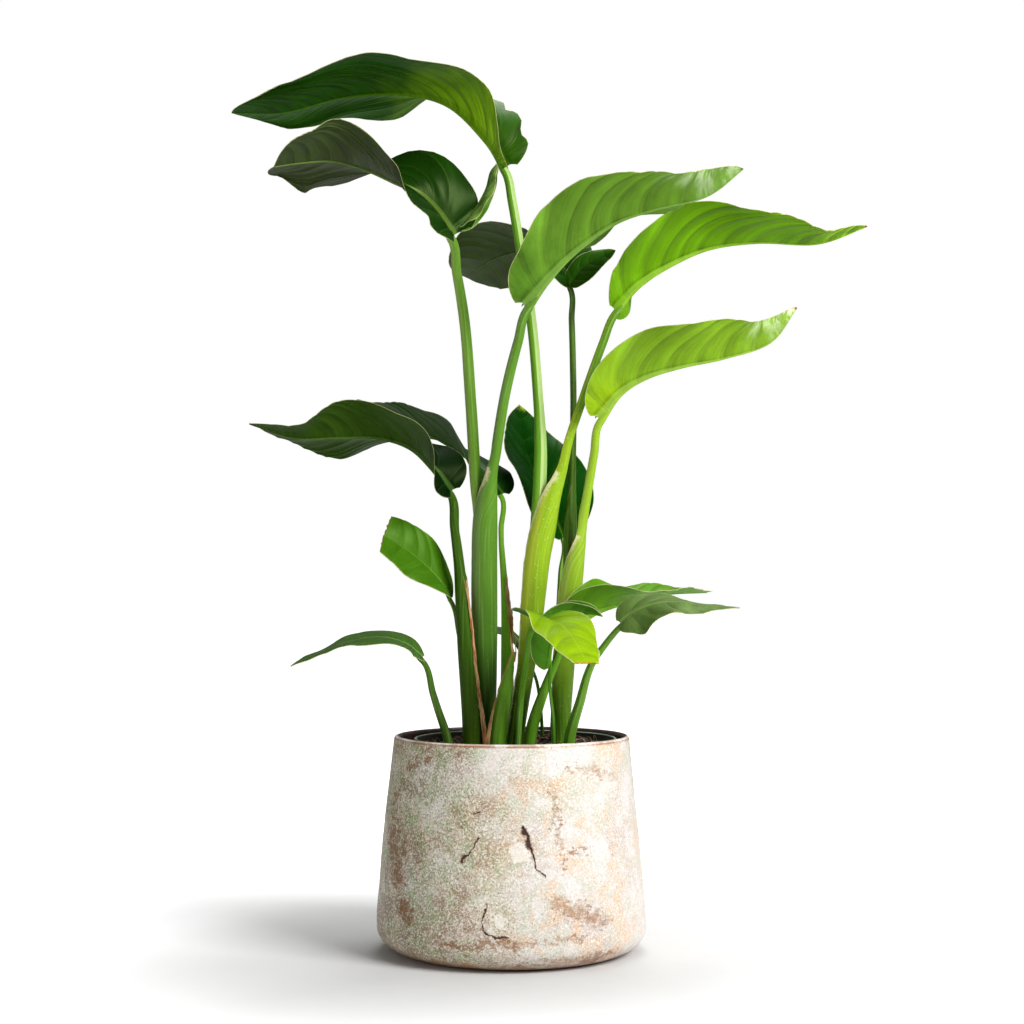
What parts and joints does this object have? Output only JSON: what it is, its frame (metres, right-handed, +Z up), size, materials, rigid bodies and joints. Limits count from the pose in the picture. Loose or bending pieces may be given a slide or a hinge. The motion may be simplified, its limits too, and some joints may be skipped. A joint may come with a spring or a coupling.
{
  "type": "potted giant white bird of paradise",
  "caption": "Bushy clump of paddle-shaped leaves on tall petioles, rooted in peat in a plastic growing pot that stands inside a rounded stoneware cover pot.",
  "frame": {"origin": "centre of the cover pot's flat underside, on the surface that the pot stands on", "axes": "+Z up along the pot's axis; -Y towards the side of the plant that the picture shows; +X to that view's right"},
  "size_m": [0.6182, 0.301, 0.8305],
  "materials": {
    "leaf_green": "mid green leaf, satin, with fine raised side veins",
    "leaf_dark": "dark green mature leaf, glossy above and greyish below",
    "leaf_pale": "yellow-green young leaf, satin",
    "petiole_green": "smooth green leaf stalk with fine lengthwise ribs",
    "sheath_yellow": "yellow-green sheathing leaf stalk with pale specks",
    "glaze": "mottled off-white glaze with brown and green speckles, pits and cracks",
    "growing_pot_plastic": "dark green moulded plastic",
    "peat": "dark brown moist peat with loose fibres"
  },
  "bodies": {
    "root": {"cover_pot": "glaze", "nursery_pot": "growing_pot_plastic", "soil": "peat", "blade_a": "leaf_green", "blade_b": "leaf_dark", "blade_c": "leaf_pale", "blade_d": "leaf_pale", "blade_e": "leaf_dark", "blade_f": "leaf_green", "blade_g": "leaf_green", "blade_h": "leaf_pale", "blade_i": "leaf_dark", "blade_j": "leaf_dark", "blade_k": "leaf_dark", "blade_l": "leaf_green", "blade_m": "leaf_green", "blade_n": "leaf_pale", "blade_o": "leaf_green", "blade_p": "leaf_green", "stalk_a": "petiole_green", "stalk_b": "petiole_green", "stalk_c": "petiole_green", "stalk_d": "sheath_yellow", "stalk_e": "petiole_green", "stalk_f": "petiole_green", "stalk_g": "petiole_green", "stalk_h": "sheath_yellow", "stalk_i": "petiole_green", "stalk_j": "petiole_green", "stalk_k": "petiole_green", "stalk_l": "petiole_green", "stalk_m": "petiole_green", "stalk_n": "petiole_green", "stalk_o": "petiole_green", "stalk_p": "petiole_green", "sheath_stump": "petiole_green"}
  },
  "joints": []
}
